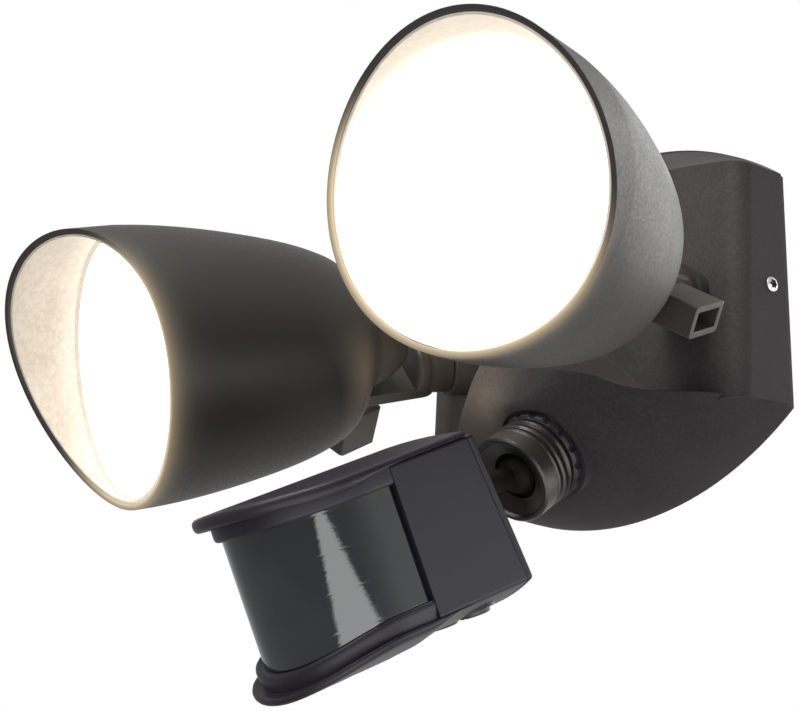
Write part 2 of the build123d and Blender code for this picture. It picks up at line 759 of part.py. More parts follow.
def section_plane(depth):
    """Cross-section plane of the sensor head: sketch y is the head's up, extrusions go forward."""
    origin = sensor.from_local_coords((0, depth, 0))
    return Plane(origin=origin, x_dir=sensor.x_dir, z_dir=-sensor.y_dir)


def head_section(inset, start, length):
    """Bar with the head's crowned cross-section, pulled in by inset, from start forward."""
    half = SENSOR_HALF_WIDTH - inset
    top = SENSOR_HALF_HEIGHT - inset
    with BuildPart() as bar:
        with BuildSketch(section_plane(start)):
            with BuildLine():
                ThreePointArc((-half, top), (0, top + TOP_CROWN), (half, top))
                Line((half, top), (half, -top))
                ThreePointArc((half, -top), (0, -top - BELLY_CROWN), (-half, -top))
                Line((-half, -top), (-half, top))
            make_face()
            fillet(vertices(), 1.8)
        extrude(amount=length)
    return bar.part


def rear_plane(forward):
    """Slanted rear plane of the head, moved forward from its back."""
    middle = (SENSOR_TOP_DEPTH + SENSOR_BOTTOM_DEPTH) / 2 - forward
    normal = sensor.y_dir * cos(BACK_LEAN) + sensor.z_dir * sin(BACK_LEAN)
    return Plane(origin=sensor.from_local_coords((0, middle, 0)), x_dir=sensor.x_dir, z_dir=normal)


def plan_shape(radius, centre, rear, low, high):
    """Slab with a U-shaped plan: straight flanks from the rear and a round front."""
    with BuildPart() as slab:
        with BuildSketch(shifted(sensor, 0, 0, low)):
            with BuildLine():
                Line((radius, rear), (radius, centre))
                ThreePointArc((radius, centre), (0, centre - radius), (-radius, centre))
                Polyline((-radius, centre), (-radius, rear), (radius, rear))
            make_face()
        extrude(amount=high - low)
    return slab.part


def crowned_slab(low, high, start, length, sag_low, sag_high):
    """Slab between two shallow arches that run from front to back."""
    half = 45.0
    factor = (half / SENSOR_HALF_WIDTH) ** 2
    with BuildPart() as slab:
        with BuildSketch(section_plane(start)):
            with BuildLine():
                ThreePointArc(
                    (-half, high + sag_high * (1 - factor)),
                    (0, high + sag_high),
                    (half, high + sag_high * (1 - factor)),
                )
                Line((half, high + sag_high * (1 - factor)), (half, low + sag_low * (1 - factor)))
                ThreePointArc(
                    (half, low + sag_low * (1 - factor)),
                    (0, low + sag_low),
                    (-half, low + sag_low * (1 - factor)),
                )
                Line((-half, low + sag_low * (1 - factor)), (-half, high + sag_high * (1 - factor)))
            make_face()
        extrude(amount=length)
    return slab.part


knob_places = [(-KNOB_SPACING, KNOB_Y), (0, KNOB_Y), (KNOB_SPACING, KNOB_Y)]
belly_radius = (SENSOR_HALF_WIDTH**2 + BELLY_CROWN**2) / (2 * BELLY_CROWN)


def belly_at(x):
    """Height of the belly's surface at x."""
    fall = belly_radius - sqrt(belly_radius**2 - x**2)
    return -SENSOR_HALF_HEIGHT - BELLY_CROWN + fall


with BuildPart() as body:
    add(head_section(0.0, 60, 60))
    split(bisect_by=rear_plane(COVER_DEPTH + 0.5), keep=Keep.BOTTOM)
    add(crowned_slab(SENSOR_HALF_HEIGHT - 0.4, 45, 70, 90, TOP_CROWN, 0.1), mode=Mode.SUBTRACT)
    add(head_section(2.2, 80, 100), mode=Mode.SUBTRACT)
    for x, y in knob_places:
        with BuildSketch(shifted(sensor, x, y, belly_at(x) + 1)):
            Circle(KNOB_RADIUS + 2)
        extrude(amount=4.1)
        with BuildSketch(shifted(sensor, x, y, belly_at(x) - 5)):
            Circle(KNOB_RADIUS + 0.4)
        extrude(amount=8.5, mode=Mode.SUBTRACT)
        with BuildSketch(shifted(sensor, x, y, belly_at(x))):
            Circle(1.86)
        extrude(amount=12, mode=Mode.SUBTRACT)
keep("sensor_body", body)

with BuildPart() as cover:
    add(head_section(0.0, 60, 60))
    add(crowned_slab(SENSOR_HALF_HEIGHT - 0.4, 45, 70, 90, TOP_CROWN, 0.1), mode=Mode.SUBTRACT)
    split(bisect_by=rear_plane(0), keep=Keep.BOTTOM)
    split(bisect_by=rear_plane(COVER_DEPTH), keep=Keep.TOP)
    rim = cover.faces().sort_by(Axis(sensor.origin, sensor.y_dir))[-1].edges()
    fillet(rim, 1.2)
    with BuildSketch(section_plane(60)):
        with Locations((0, stem_foot.Z)):
            Circle(STEM_RADIUS + 0.2)
    extrude(amount=60, mode=Mode.SUBTRACT)
keep("back_cover", cover)

with BuildPart() as visor:
    with BuildPart(mode=Mode.PRIVATE) as outline:
        add(plan_shape(VISOR_RADIUS, VISOR_CENTRE, -0.5, 20, 45))
        add(plan_shape(SENSOR_HALF_WIDTH, 0, SENSOR_TOP_DEPTH - COVER_DEPTH - 0.5, 20, 45))
    add(outline.part)
    add(crowned_slab(SENSOR_HALF_HEIGHT - 0.1, SENSOR_HALF_HEIGHT + 1.6, 70, 140, TOP_CROWN, TOP_CROWN), mode=Mode.INTERSECT)
    with BuildPart(mode=Mode.PRIVATE) as lip:
        add(plan_shape(VISOR_RADIUS, VISOR_CENTRE, -0.5, 21, 45))
        add(plan_shape(VISOR_RADIUS - 2.0, VISOR_CENTRE, 3, 20, 46), mode=Mode.SUBTRACT)
        add(crowned_slab(SENSOR_HALF_HEIGHT - 3.6, SENSOR_HALF_HEIGHT + 1.6, 70, 140, TOP_CROWN, TOP_CROWN), mode=Mode.INTERSECT)
    add(lip.part)
keep("visor", visor)

LENS_TOP = 21.1
LENS_LOW = -20.0

with BuildPart() as frame:
    with BuildPart(mode=Mode.PRIVATE) as ring:
        add(head_section(FRAME_INSET, 5, 9))
        add(head_section(FRAME_INSET + 2.2, 10, 20), mode=Mode.SUBTRACT)
    add(ring.part)
    with BuildPart(mode=Mode.PRIVATE) as brow:
        add(plan_shape(PIR_LENS_RADIUS - 0.6, PIR_LENS_CENTRE, -1, LENS_TOP + 0.3, 40))
        add(crowned_slab(LENS_TOP + 0.3, SENSOR_HALF_HEIGHT - 0.5, 70, 140, 0.1, TOP_CROWN), mode=Mode.INTERSECT)
    add(brow.part)
    for radius, centre, top, low in (
        (PIR_LENS_RADIUS + 0.5, PIR_LENS_CENTRE - 3, LENS_LOW - 0.3, LENS_LOW - 4.2),
        (VISOR_RADIUS - 0.3, VISOR_CENTRE + 0.8, LENS_LOW - 4.2, -SENSOR_HALF_HEIGHT - 1.2),
    ):
        with BuildPart(mode=Mode.PRIVATE) as flange:
            add(plan_shape(radius, centre, -1, -50, 0))
            add(crowned_slab(low, top, 70, 140, -BELLY_CROWN, -BELLY_CROWN), mode=Mode.INTERSECT)
        add(flange.part)
keep("front_frame", frame)

with BuildPart() as pir_lens:
    add(plan_shape(PIR_LENS_RADIUS, PIR_LENS_CENTRE, -2.5, -40, 40))
    add(plan_shape(PIR_LENS_RADIUS - 1.4, PIR_LENS_CENTRE, 0, -41, 41), mode=Mode.SUBTRACT)
    add(crowned_slab(LENS_LOW, LENS_TOP, 70, 140, -BELLY_CROWN, 0.1), mode=Mode.INTERSECT)
keep("fresnel_lens", pir_lens)

with BuildPart() as sensor_board:
    with BuildSketch(section_plane(6.7)):
        Rectangle(60, 48)
        with Locations((22, 15), (-22, 15)):
            Circle(1.6, mode=Mode.SUBTRACT)
    extrude(amount=1.6)
keep("sensor_board", sensor_board)

with BuildPart() as element:
    with BuildSketch(section_plane(5.1)):
        Circle(4.6)
    extrude(amount=4)
    with BuildSketch(section_plane(1.1)):
        Circle(3.9)
    extrude(amount=0.8)
    with BuildSketch(section_plane(0.3)):
        Rectangle(4, 3)
    extrude(amount=-0.4, mode=Mode.SUBTRACT)
keep("infrared_element", element)

with BuildPart() as stem_nut:
    with BuildSketch(section_plane(SENSOR_TOP_DEPTH - 2.2)):
        with Locations((0, stem_foot.Z)):
            RegularPolygon(9.5, 6)
            Circle(STEM_RADIUS + 0.05, mode=Mode.SUBTRACT)
    extrude(amount=4)
keep("stem_nut", stem_nut)

for (x, y), name in zip(knob_places, ("time_knob", "light_knob", "range_knob")):
    with BuildPart() as adjuster:
        with BuildSketch(shifted(sensor, x, y, belly_at(x) - 2.5)):
            Circle(KNOB_RADIUS)
        extrude(amount=5.5)
        chamfer(adjuster.faces().sort_by(Axis(sensor.origin, sensor.z_dir))[0].edges(), 0.6)
        with BuildSketch(shifted(sensor, x, y, belly_at(x) - 2.5)):
            Rectangle(1.4, 2 * KNOB_RADIUS + 1)
        extrude(amount=1.4, mode=Mode.SUBTRACT)
        with BuildSketch(shifted(sensor, x, y, belly_at(x) + 2.9)):
            Circle(1.8)
        extrude(amount=6)
    keep(name, adjuster)

with BuildPart() as trimmers:
    for x, y in knob_places:
        with BuildSketch(shifted(sensor, x, y, belly_at(x) + 5.6)):
            Rectangle(9, 9)
            Circle(1.86, mode=Mode.SUBTRACT)
        extrude(amount=6)
keep("trimmer_pots", trimmers)

with BuildPart() as cover_screws:
    for x, z in ((-26, 20), (26, 20), (-26, -22), (26, -22)):
        spot = rear_plane(0).from_local_coords((x, z, 0))
        with BuildSketch(Plane(origin=spot, x_dir=sensor.x_dir, z_dir=rear_plane(0).z_dir)):
            Circle(2.6)
        extrude(amount=1.4)
keep("cover_screws", cover_screws)

if __name__ == "__main__":
    os.makedirs("parts", exist_ok=True)
    for name, solid in pieces.items():
        solid.label = name
        export_step(solid, "parts/" + name + ".step")
        print(name, round(solid.volume), len(solid.solids()), solid.is_valid)
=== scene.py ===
"""Looks of the twin-head motion sensor security light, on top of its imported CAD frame."""
from __future__ import annotations

import json
import logging
import math
from dataclasses import dataclass, replace
from enum import Enum
from typing import Callable, Protocol, Sequence

import bmesh
import bpy
from mathutils import Matrix, Vector

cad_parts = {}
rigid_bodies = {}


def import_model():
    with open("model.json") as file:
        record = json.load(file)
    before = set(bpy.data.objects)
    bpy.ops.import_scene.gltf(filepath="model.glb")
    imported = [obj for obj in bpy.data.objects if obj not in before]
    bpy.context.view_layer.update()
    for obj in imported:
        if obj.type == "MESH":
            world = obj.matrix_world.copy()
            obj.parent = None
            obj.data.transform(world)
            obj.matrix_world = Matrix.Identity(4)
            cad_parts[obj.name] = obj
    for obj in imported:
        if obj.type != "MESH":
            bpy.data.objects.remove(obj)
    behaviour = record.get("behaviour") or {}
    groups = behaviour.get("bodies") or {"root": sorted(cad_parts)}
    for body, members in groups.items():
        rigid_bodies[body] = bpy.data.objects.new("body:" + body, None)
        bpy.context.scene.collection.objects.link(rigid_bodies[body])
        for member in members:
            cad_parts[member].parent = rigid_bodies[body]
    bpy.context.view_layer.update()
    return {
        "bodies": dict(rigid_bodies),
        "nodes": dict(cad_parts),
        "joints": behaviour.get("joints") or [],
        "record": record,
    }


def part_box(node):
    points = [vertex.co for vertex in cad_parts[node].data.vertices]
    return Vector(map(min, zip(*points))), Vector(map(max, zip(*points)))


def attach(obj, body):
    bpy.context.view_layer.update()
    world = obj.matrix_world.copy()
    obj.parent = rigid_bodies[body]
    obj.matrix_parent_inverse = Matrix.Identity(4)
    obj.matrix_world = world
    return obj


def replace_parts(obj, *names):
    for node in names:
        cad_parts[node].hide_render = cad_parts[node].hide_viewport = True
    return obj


log = logging.getLogger("security_light")

Colour = tuple[float, float, float]
EDGE_ROUNDING = 0.0005  # how far shading rounds a sharp edge, in metres
EDGE_SAMPLES = 6
WELD = 1e-7
BLACK = (0.0, 0.0, 0.0)


# ---------------------------------------------------------------- shader maths
class Shade:
    """A socket of a material's node tree on which Python arithmetic works."""

    MIX_COLOURS = (6, 7)  # sockets of a Mix node that blends colours
    MIX_RESULT = 2

    def __init__(self, tree: bpy.types.NodeTree, socket: bpy.types.NodeSocket) -> None:
        """Wraps a socket.

        Args:
            tree: The node tree that owns the socket.
            socket: The output to wrap.
        """
        self.tree = tree
        self.socket = socket

    def node(
        self, kind: str, output: int | str = 0, settings: dict | None = None, **inputs: object
    ) -> Shade:
        """Adds any node and links or sets its inputs.

        Args:
            kind: Blender's type name of the node.
            output: The output to return, by index or name.
            settings: Properties of the node itself.
            **inputs: Sockets or constants by input name, with _ for spaces and iN for an index.

        Returns:
            The chosen output, wrapped.
        """
        made = self.tree.nodes.new(kind)
        for key, value in (settings or {}).items():
            setattr(made, key, value)
        for key, value in inputs.items():
            index = int(key[1:]) if key[0] == "i" and key[1:].isdigit() else None
            port = made.inputs[index] if index is not None else made.inputs[key.replace("_", " ")]
            if isinstance(value, Shade):
                self.tree.links.new(value.socket, port)
            else:
                port.default_value = value
        return Shade(self.tree, made.outputs[output])

    def math(self, operation: str, other: object = None, swapped: bool = False) -> Shade:
        """Runs one Math node on this value.

        Args:
            operation: The node's operation.
            other: Second value, where the operation takes one.
            swapped: Whether the second value goes first.

        Returns:
            The result.
        """
        values = [self] if other is None else [self, other]
        if swapped:
            values.reverse()
        inputs = {f"i{index}": value for index, value in enumerate(values)}
        return self.node("ShaderNodeMath", settings={"operation": operation}, **inputs)

    def __add__(self, other: object) -> Shade:
        return self.math("ADD", other)

    def __radd__(self, other: object) -> Shade:
        return self.math("ADD", other, swapped=True)

    def __sub__(self, other: object) -> Shade:
        return self.math("SUBTRACT", other)

    def __rsub__(self, other: object) -> Shade:
        return self.math("SUBTRACT", other, swapped=True)

    def __mul__(self, other: object) -> Shade:
        return self.math("MULTIPLY", other)

    def __rmul__(self, other: object) -> Shade:
        return self.math("MULTIPLY", other, swapped=True)

    def __truediv__(self, other: object) -> Shade:
        return self.math("DIVIDE", other)

    def __rtruediv__(self, other: object) -> Shade:
        return self.math("DIVIDE", other, swapped=True)

    def __neg__(self) -> Shade:
        return self * -1.0

    def part(self, index: int) -> Shade:
        """One coordinate of this vector.

        Args:
            index: 0, 1 or 2.

        Returns:
            The coordinate.
        """
        return self.node("ShaderNodeSeparateXYZ", output=index, Vector=self)

    def offset(self, point: Vector) -> Shade:
        """This place, measured from a point.

        Args:
            point: The point.

        Returns:
            The vector from the point.
        """
        return self.node(
            "ShaderNodeVectorMath", settings={"operation": "SUBTRACT"}, i0=self, i1=tuple(point)
        )

    def along(self, way: Vector) -> Shade:
        """Length of this vector along a direction.

        Args:
            way: Unit direction.

        Returns:
            The length.
        """
        return self.node(
            "ShaderNodeVectorMath", "Value", {"operation": "DOT_PRODUCT"}, i0=self, i1=tuple(way)
        )

    def length(self) -> Shade:
        """Measures this vector.

        Returns:
            Its length.
        """
        return self.node("ShaderNodeVectorMath", "Value", {"operation": "LENGTH"}, i0=self)

    def ramp(self, low: float, high: float, start: float = 0.0, end: float = 1.0) -> Shade:
        """Maps this value from one range to another, smoothly and clamped.

        Args:
            low: Value that becomes start.
            high: Value that becomes end.
            start: Result at low.
            end: Result at high.

        Returns:
            The mapped value.
        """
        return self.node(
            "ShaderNodeMapRange",
            settings={"interpolation_type": "SMOOTHSTEP"},
            i0=self, i1=low, i2=high, i3=start, i4=end,
        )

    def mix(self, first: object, second: object) -> Shade:
        """Blends two colours by this value.

        Args:
            first: Colour where this value is 0.
            second: Colour where this value is 1.

        Returns:
            The blended colour.
        """
        made = self.tree.nodes.new("ShaderNodeMix")
        made.data_type = "RGBA"
        self.tree.links.new(self.socket, made.inputs[0])
        for index, value in zip(self.MIX_COLOURS, (first, second)):
            port = made.inputs[index]
            if isinstance(value, Shade):
                self.tree.links.new(value.socket, port)
            else:
                port.default_value = (*value, 1.0)
        return Shade(self.tree, made.outputs[self.MIX_RESULT])


class Paint:
    """One material under construction."""

    def __init__(self, name: str) -> None:
        """Starts an empty principled material.

        Args:
            name: Name of the material.
        """
        self.material = bpy.data.materials.new(name)
        self.material.use_nodes = True
        self.tree = self.material.node_tree
        self.bsdf = self.tree.nodes["Principled BSDF"]
        coordinates = self.tree.nodes.new("ShaderNodeTexCoord")
        self.place = Shade(self.tree, coordinates.outputs["Object"])

    def noise(
        self, scale: float, detail: float = 3.0, roughness: float = 0.55, place: Shade | None = None
    ) -> Shade:
        """Adds a noise texture.

        Args:
            scale: Features per metre.
            detail: Octaves.
            roughness: Weight of the finer octaves.
            place: Coordinates, object coordinates if left out.

        Returns:
            The noise value, around 0.5.
        """
        where = place or self.place
        return where.node("ShaderNodeTexNoise", Vector=where, Scale=scale, Detail=detail, Roughness=roughness)

    def grains(self, scale: float) -> Shade:
        """Adds cells for speckle and cast texture.

        Args:
            scale: Cells per metre.

        Returns:
            Distance to the nearest cell's middle.
        """
        return self.place.node("ShaderNodeTexVoronoi", Vector=self.place, Scale=scale)

    def turned(self, origin: Vector, basis: Matrix) -> Shade:
        """Object coordinates seen from a turned frame.

        Args:
            origin: Origin of the frame.
            basis: Matrix whose columns are the frame's axes.

        Returns:
            Coordinates in the frame.
        """
        angles = basis.to_euler("XYZ")
        return self.place.node(
            "ShaderNodeMapping",
            settings={"vector_type": "TEXTURE"},
            Vector=self.place,
            Location=tuple(origin),
            Rotation=tuple(angles),
        )

    def set(self, **values: object) -> None:
        """Sets or links inputs of the shader.

        Args:
            **values: Constants or shades by input name, with _ for spaces.
        """
        for key, value in values.items():
            port = self.bsdf.inputs[key.replace("_", " ")]
            if isinstance(value, Shade):
                self.tree.links.new(value.socket, port)
            elif isinstance(value, tuple) and len(value) == 3 and len(port.default_value) == 4:
                port.default_value = (*value, 1.0)
            else:
                port.default_value = value

    def bump(self, height: Shade, strength: float, distance: float) -> None:
        """Links a height to the shader's normal.

        Args:
            height: Height, 0 to 1.
            strength: Strength of the bump.
            distance: Height in metres of the value 1.
        """
        rounded = self.place.node(
            "ShaderNodeBevel", settings={"samples": EDGE_SAMPLES}, Radius=EDGE_ROUNDING
        )
        normal = self.place.node(
            "ShaderNodeBump", Height=height, Strength=strength, Distance=distance, Normal=rounded
        )
        self.tree.links.new(normal.socket, self.bsdf.inputs["Normal"])


# ---------------------------------------------------------------- finishes
@dataclass(frozen=True)
class Halo:
    """Painted warm glow on the paint behind a hood's slanted edge, standing in for the spill of the lit lens.
    """

    lamp: LampAxis

    WARM = (1.0, 0.80, 0.52)
    REACH = 0.0030
    STRENGTH = 0.95
    RIM_WEIGHT = 1.5  # how much faster the spill dies on the rim's face
    BARE_HIGH = 0.4  # share of the radius above which the hood hides the spill
    BARE_LOW = -0.45

    def add(self, paint: Paint) -> None:
        """Adds the painted glow to a material as weak warm emission that dies away behind the edge.

        Args:
            paint: The material under construction.
        """
        offset = paint.place.offset(self.lamp.centre)
        height = offset.along(self.lamp.up) / LENS_RADIUS
        edge = (height + 1.0) * (height + 1.0) * HOOD_SLANT + HOOD_RIM
        ahead = offset.along(self.lamp.forward)
        length = offset.length()
        across = (length * length - ahead * ahead).math("SQRT")
        outside = (across - LENS_RADIUS).math("MAXIMUM", 0.0) * self.RIM_WEIGHT
        path = (edge - ahead).math("MAXIMUM", 0.0) + outside
        spill = (path / -self.REACH).math("EXPONENT")
        bare = height.ramp(self.BARE_HIGH, self.BARE_LOW)
        # painted glow: warm emission on the shell's paint, though the shell is no lamp
        paint.set(Emission_Color=(spill * bare).mix(BLACK, self.WARM), Emission_Strength=self.STRENGTH)


@dataclass(frozen=True)
class PowderCoat:
    """Baked powder coat on cast or pressed metal: orange peel, speckle and a satin sheen."""

    colour: Colour
    light: Colour
    roughness: float
    grain: float = 900.0
    speckle: float = 0.35
    bump: float = 0.25
    gloss: float = 0.5
    halo: Halo | None = None

    BLOTCHES = 28.0  # per metre
    RELIEF = 0.0002

    def build(self, name: str) -> bpy.types.Material:
        """Builds the material.

        Args:
            name: Name of the material.

        Returns:
            The material.
        """
        paint = Paint(name)
        broad = paint.noise(self.BLOTCHES, 4.0).ramp(0.3, 0.7)
        fine = paint.noise(self.grain, 2.0)
        specks = paint.grains(self.grain * 1.6).ramp(0.32, 0.12)
        mottled = broad * 0.35 + fine.ramp(0.35, 0.75) * 0.4 + specks * self.speckle
        tone = mottled.math("MINIMUM", 1.0)
        sheen = fine.ramp(0.3, 0.7, self.roughness - 0.05, self.roughness + 0.08)
        paint.set(
            Base_Color=tone.mix(self.colour, self.light),
            Roughness=sheen + broad * 0.05,
            Specular_IOR_Level=self.gloss,
        )
        # painted glow of the lit lens on the lamp shell's paint
        if self.halo:
            self.halo.add(paint)
        paint.bump(fine * 0.6 + paint.noise(self.grain * 0.3, 2.0) * 0.4, self.bump, self.RELIEF)
        return paint.material


@dataclass(frozen=True)
class Ribs:
    """Uneven ribs round an axis, as on a moulded strain-relief boot."""

    start: Vector
    way: Vector
    length: float
    pitch: float
    depth: float

    SWAY = 0.0022  # how far the ribs wander along the axis
    FADE = 0.001

    def height(self, paint: Paint) -> Shade:
        """Works out the ribs' height.

        Args:
            paint: The material under construction.

        Returns:
            0 between ribs and off their length, 1 on a rib.
        """
        sway = (paint.noise(70.0, 2.0) - 0.5) * self.SWAY
        along = paint.place.offset(self.start).along(self.way) + sway
        wave = (along * (math.tau / self.pitch)).math("SINE") * 0.5 + 0.5
        end = along.ramp(self.length + self.FADE, self.length - self.FADE)
        inside = along.ramp(-self.FADE, self.FADE) * end
        return wave * inside


@dataclass(frozen=True)
class MouldedPlastic:
    """Spark-eroded moulded plastic with faint flow marks."""

    colour: Colour
    light: Colour
    roughness: float
    grain: float = 1400.0
    bump: float = 0.2
    gloss: float = 0.5
    ribs: Ribs | None = None

    FLOW_MARKS = 18.0  # per metre
    RELIEF = 0.00012

    def build(self, name: str) -> bpy.types.Material:
        """Builds the material.

        Args:
            name: Name of the material.

        Returns:
            The material.
        """
        paint = Paint(name)
        flow = paint.noise(self.FLOW_MARKS, 3.0).ramp(0.3, 0.7)
        grit = paint.noise(self.grain, 2.0)
        tone = flow * 0.5 + grit.ramp(0.35, 0.7) * 0.45
        paint.set(
            Base_Color=tone.mix(self.colour, self.light),
            Roughness=grit.ramp(0.3, 0.7, self.roughness - 0.04, self.roughness + 0.06),
            Specular_IOR_Level=self.gloss,
        )
        if self.ribs:
            paint.bump(self.ribs.height(paint) + grit * 0.05, 1.0, self.ribs.depth)
        else:
            paint.bump(grit, self.bump, self.RELIEF)
        return paint.material


@dataclass(frozen=True)
class BareMetal:
    """Plated or bare metal with fine brushing."""

    colour: Colour
    roughness: float
    drive: tuple[float, float, float] | None = None

    BRUSHING = 900.0  # streaks per metre
    STRETCH = (1.0, 1.0, 12.0)
    RELIEF = 0.00005
    # near-black colour of the painted shade in the screws' drive
    RECESS = (0.02, 0.018, 0.018)
    LOBES = 6.0
    LOBE_DEPTH = 0.14

    def build(self, name: str) -> bpy.types.Material:
        """Builds the material.

        Args:
            name: Name of the material.

        Returns:
            The material.
        """
        paint = Paint(name)
        streaks = paint.place.node("ShaderNodeMapping", Vector=paint.place, Scale=self.STRETCH)
        brushed = paint.noise(self.BRUSHING, 3.0, place=streaks)
        dark = tuple(part * 0.7 for part in self.colour)
        colour = brushed.ramp(0.25, 0.75).mix(dark, self.colour)
        if self.drive:
            # painted shade: the drive is painted near black where it lies in its own shadow
            colour = self.recess(paint).mix(self.RECESS, colour)
        paint.set(
            Base_Color=colour,
            Metallic=1.0,
            Roughness=brushed.ramp(0.2, 0.8, self.roughness - 0.07, self.roughness + 0.12),
        )
        paint.bump(brushed, 0.1, self.RELIEF)
        return paint.material

    def recess(self, paint: Paint) -> Shade:
        """Finds the star-shaped drive in the middle of a side screw's head, which is painted near black as
        painted shade.

        Args:
            paint: The material under construction.

        Returns:
            0 in the drive, 1 on the metal round it.
        """
        height, depth, size = self.drive
        y, z = paint.place.part(1) - depth, paint.place.part(2) - height
        lobes = (z.math("ARCTAN2", y) * self.LOBES).math("COSINE")
        across = (y * y + z * z).math("SQRT")
        return (across / (lobes * self.LOBE_DEPTH + 1.0)).ramp(size * 0.9, size)


@dataclass(frozen=True)
class LitLiner:
    """Cream inside of a hood: mottled paint with a painted glow, brightest near the lens, for the light that
    the lens throws on it from below.
    """

    glow: float
    lamp: LampAxis

    CREAM = (0.69, 0.61, 0.52)
    SHADE = (0.53, 0.455, 0.37)
    GLOW = (1.0, 0.96, 0.88)
    MOTTLES = 420.0  # per metre
    BLOTCHES = 60.0
    RELIEF = 0.0003
    NEAR = 0.014  # how far ahead of the lens the painted glow is bright

    def build(self, name: str) -> bpy.types.Material:
        """Builds the material.

        Args:
            name: Name of the material.

        Returns:
            The material.
        """
        paint = Paint(name)
        mottle = paint.noise(self.MOTTLES, 3.0, 0.7)
        broad = paint.noise(self.BLOTCHES, 3.0)
        tone = mottle.ramp(0.3, 0.7) * 0.7 + broad.ramp(0.3, 0.7) * 0.3
        ahead = paint.place.offset(self.lamp.centre).along(self.lamp.forward)
        near = ahead.ramp(self.NEAR, 0.0) * 0.85 + 0.15
        # painted glow: warm emission on the liner, strongest just ahead of the lens
        paint.set(
            Base_Color=tone.mix(self.SHADE, self.CREAM),
            Roughness=mottle.ramp(0.3, 0.7, 0.5, 0.66),
            Emission_Color=near.mix(BLACK, self.GLOW),
            Emission_Strength=self.glow,
        )
        paint.bump(mottle, 0.5, self.RELIEF)
        return paint.material


@dataclass(frozen=True)
class Diffuser:
    """Frosted lens lit from behind, warmer towards its rim."""

    centre: Vector

    RADIUS = 0.0517
    STRENGTH = 1.6
    MIDDLE = (1.0, 0.985, 0.95)
    RIM = (1.0, 0.86, 0.6)
    FROST = 700.0  # grains per metre
    RELIEF = 0.0001

    def build(self, name: str) -> bpy.types.Material:
        """Builds the material.

        Args:
            name: Name of the material.

        Returns:
            The material.
        """
        paint = Paint(name)
        edge = (paint.place.offset(self.centre).length() / self.RADIUS).ramp(0.9, 1.0)
        frost = paint.noise(self.FROST, 2.0)
        paint.set(
            Base_Color=frost.ramp(0.3, 0.7).mix((0.86, 0.85, 0.8), (0.95, 0.94, 0.9)),
            Roughness=frost.ramp(0.3, 0.7, 0.35, 0.5),
            Emission_Color=edge.mix(self.MIDDLE, self.RIM),
            Emission_Strength=self.STRENGTH,
        )
        paint.bump(frost, 0.1, self.RELIEF)
        return paint.material


@dataclass(frozen=True)
class SmokedLens:
    """Smoked sensor lens: dark, glossy, with the faint grid of its moulded facets and a painted reflection,
    lighter and bluer towards the bottom.
    """

    origin: Vector
    basis: Matrix

    DARK = (0.012, 0.014, 0.017)
    HAZE = (0.028, 0.036, 0.047)
    BOW_CENTRE = 0.0105  # of the lens's round front, behind the frame's origin
    COLUMNS = 6.2  # facets per radian
    ROWS = 75.0  # facets per metre
    RELIEF = 0.00025

    def build(self, name: str) -> bpy.types.Material:
        """Builds the material.

        Args:
            name: Name of the material.

        Returns:
            The material.
        """
        paint = Paint(name)
        local = paint.turned(self.origin, self.basis)
        x, y, z = (local.part(index) for index in range(3))
        around = x.math("ARCTAN2", -(y + self.BOW_CENTRE))
        column = (around * self.COLUMNS + 0.5).math("FRACT")
        row = (z * self.ROWS + 0.5).math("FRACT")
        upright = (column - 0.5).math("ABSOLUTE").ramp(0.47, 0.5)
        level = (row - 0.5).math("ABSOLUTE").ramp(0.46, 0.5)
        seams = upright.math("MAXIMUM", level)
        haze = paint.noise(45.0, 3.0).ramp(0.35, 0.7)
        # painted reflection: the lens is painted lighter and bluer towards the bottom
        low = z.ramp(0.015, -0.03)
        tone = haze * 0.35 + seams * 0.03 + low * 0.4
        ripple = paint.noise(260.0, 4.0, 0.65)
        paint.set(
            Base_Color=tone.mix(self.DARK, self.HAZE),
            Roughness=haze.ramp(0.0, 1.0, 0.02, 0.04) + seams * 0.04,
            Specular_IOR_Level=1.0,
        )
        paint.bump(ripple * 0.9 - seams * 0.1, 0.04, self.RELIEF)
        return paint.material


@dataclass(frozen=True)
class Frame3:
    """A turned frame: where it is and which way its axes point."""

    origin: Vector
    basis: Matrix


class Side(Enum):
    """The two lamp heads, seen facing the wall."""

    RIGHT = "right"
    LEFT = "left"


SENSOR_NOD = math.radians(25.2)
SENSOR = Frame3(
    Vector((0.0, -0.1396, -0.1076)),
    Matrix((
        (1.0, 0.0, 0.0),
        (0.0, math.cos(SENSOR_NOD), -math.sin(SENSOR_NOD)),
        (0.0, math.sin(SENSOR_NOD), math.cos(SENSOR_NOD)),
    )),
)
LENS_RADIUS = 0.0522
HOOD_SLANT = 0.0073  # per square of the height over the hood's lowest point, in lens radii
HOOD_RIM = 0.0035  # from the lens to the hood's edge where the hood is shortest
SCREW_SEAT = 0.08605  # heads of the side screws, from the middle of the housing
SCREW_DEPTH = 0.0103  # and from the wall
SCREW_DRIVE = 0.0018


